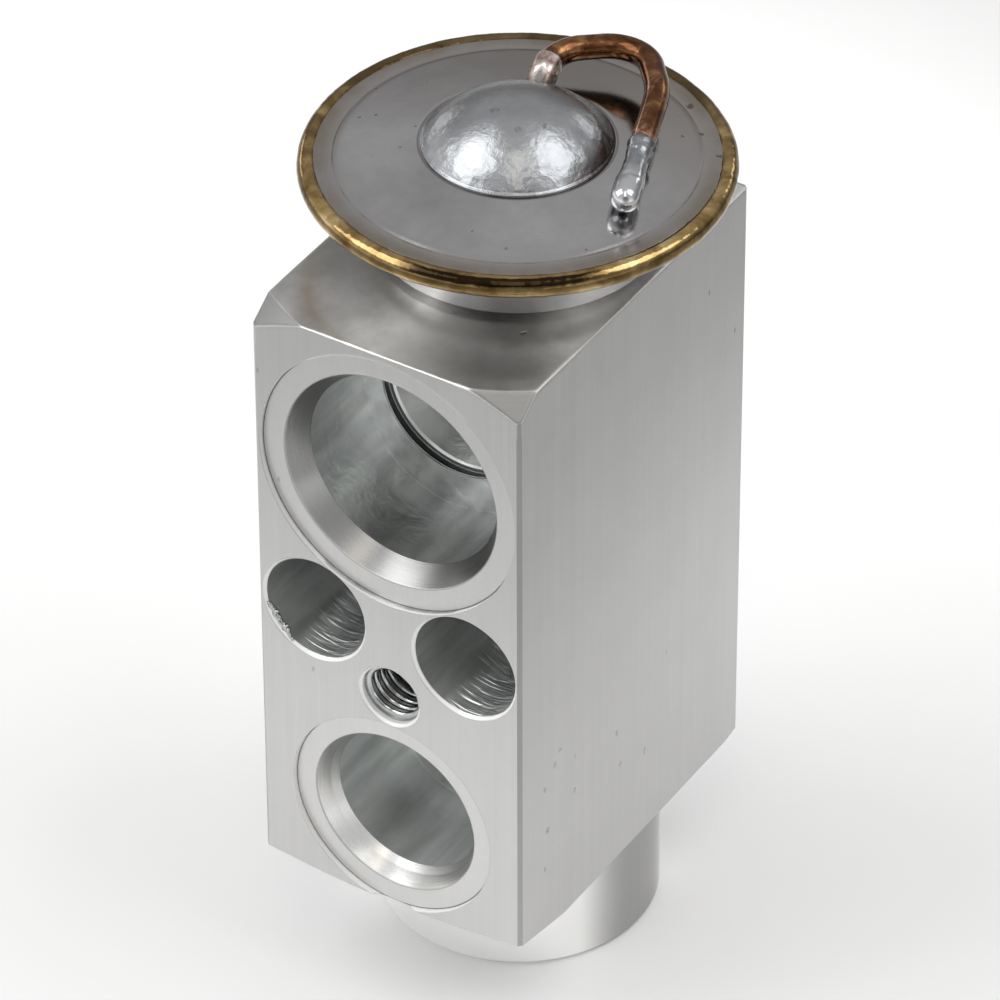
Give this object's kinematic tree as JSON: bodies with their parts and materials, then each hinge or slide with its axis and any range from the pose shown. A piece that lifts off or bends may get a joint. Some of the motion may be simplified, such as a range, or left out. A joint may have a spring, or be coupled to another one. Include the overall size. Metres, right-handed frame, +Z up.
{
  "type": "block expansion valve",
  "caption": "Block thermostatic expansion valve with ports through both faces, a diaphragm head with a sealed charge tube, and a spring-loaded ball valve inside.",
  "frame": {"origin": "on the valve axis, in the plane of the stub's end face", "axes": "+Z up the valve axis to the diaphragm head, -Y out of the face with the stud hole, +X to the right of that face"},
  "size_m": [0.0386, 0.0411, 0.0882],
  "materials": {
    "valve_body": "satin",
    "lower_shell": "satin",
    "upper_shell": "satin",
    "rim_weld": "glossy, heat-tinted",
    "diaphragm": "smooth",
    "dome_cap": "satin",
    "charge_tube": "tarnished copper",
    "tube_collar": "tinned",
    "tube_solder": "glossy",
    "head_seal": "matte",
    "stop_plate": "satin",
    "push_rod": "ground",
    "rod_seal": "matte",
    "seal_keeper": "satin",
    "valve_seat": "ground",
    "ball": "polished",
    "ball_holder": "turned",
    "damper": "satin",
    "superheat_spring": "drawn wire",
    "adjusting_screw": "turned",
    "screw_seal": "matte"
  },
  "bodies": {
    "valve": {"valve_body": "valve_body", "lower_shell": "lower_shell", "upper_shell": "upper_shell", "rim_weld": "rim_weld", "diaphragm": "diaphragm", "dome_cap": "dome_cap", "charge_tube": "charge_tube", "tube_collar": "tube_collar", "tube_solder": "tube_solder", "head_seal": "head_seal", "rod_seal": "rod_seal", "seal_keeper": "seal_keeper", "valve_seat": "valve_seat", "superheat_spring": "superheat_spring"},
    "opening_rod": {"stop_plate": "stop_plate", "push_rod": "push_rod", "ball": "ball", "ball_holder": "ball_holder", "damper": "damper"},
    "screw_carrier": {"screw_seal": "screw_seal"},
    "adjusting_screw": {"adjusting_screw": "adjusting_screw"}
  },
  "joints": [
    {"name": "rod_slide", "type": "slide", "parent": "valve", "child": "opening_rod", "axis": [0, 0, -1], "range_m": [0, 0.0008], "stiffness_N_per_m": 4000, "springref_m": -0.001, "deforming": ["superheat_spring", "diaphragm"]},
    {"name": "screw_lift", "type": "slide", "parent": "valve", "child": "screw_carrier", "axis": [0, 0, 1], "range_m": [-0.0005, 0.0005], "deforming": ["superheat_spring"]},
    {"name": "screw_turn", "type": "hinge", "parent": "screw_carrier", "child": "adjusting_screw", "pos_m": [0, 0, 0.0062], "axis": [0, 0, 1], "range_deg": [-180, 180]}
  ],
  "couplings": [
    {"joint": "screw_lift", "follows": "screw_turn", "m_per_rad": 0.00015915}
  ]
}
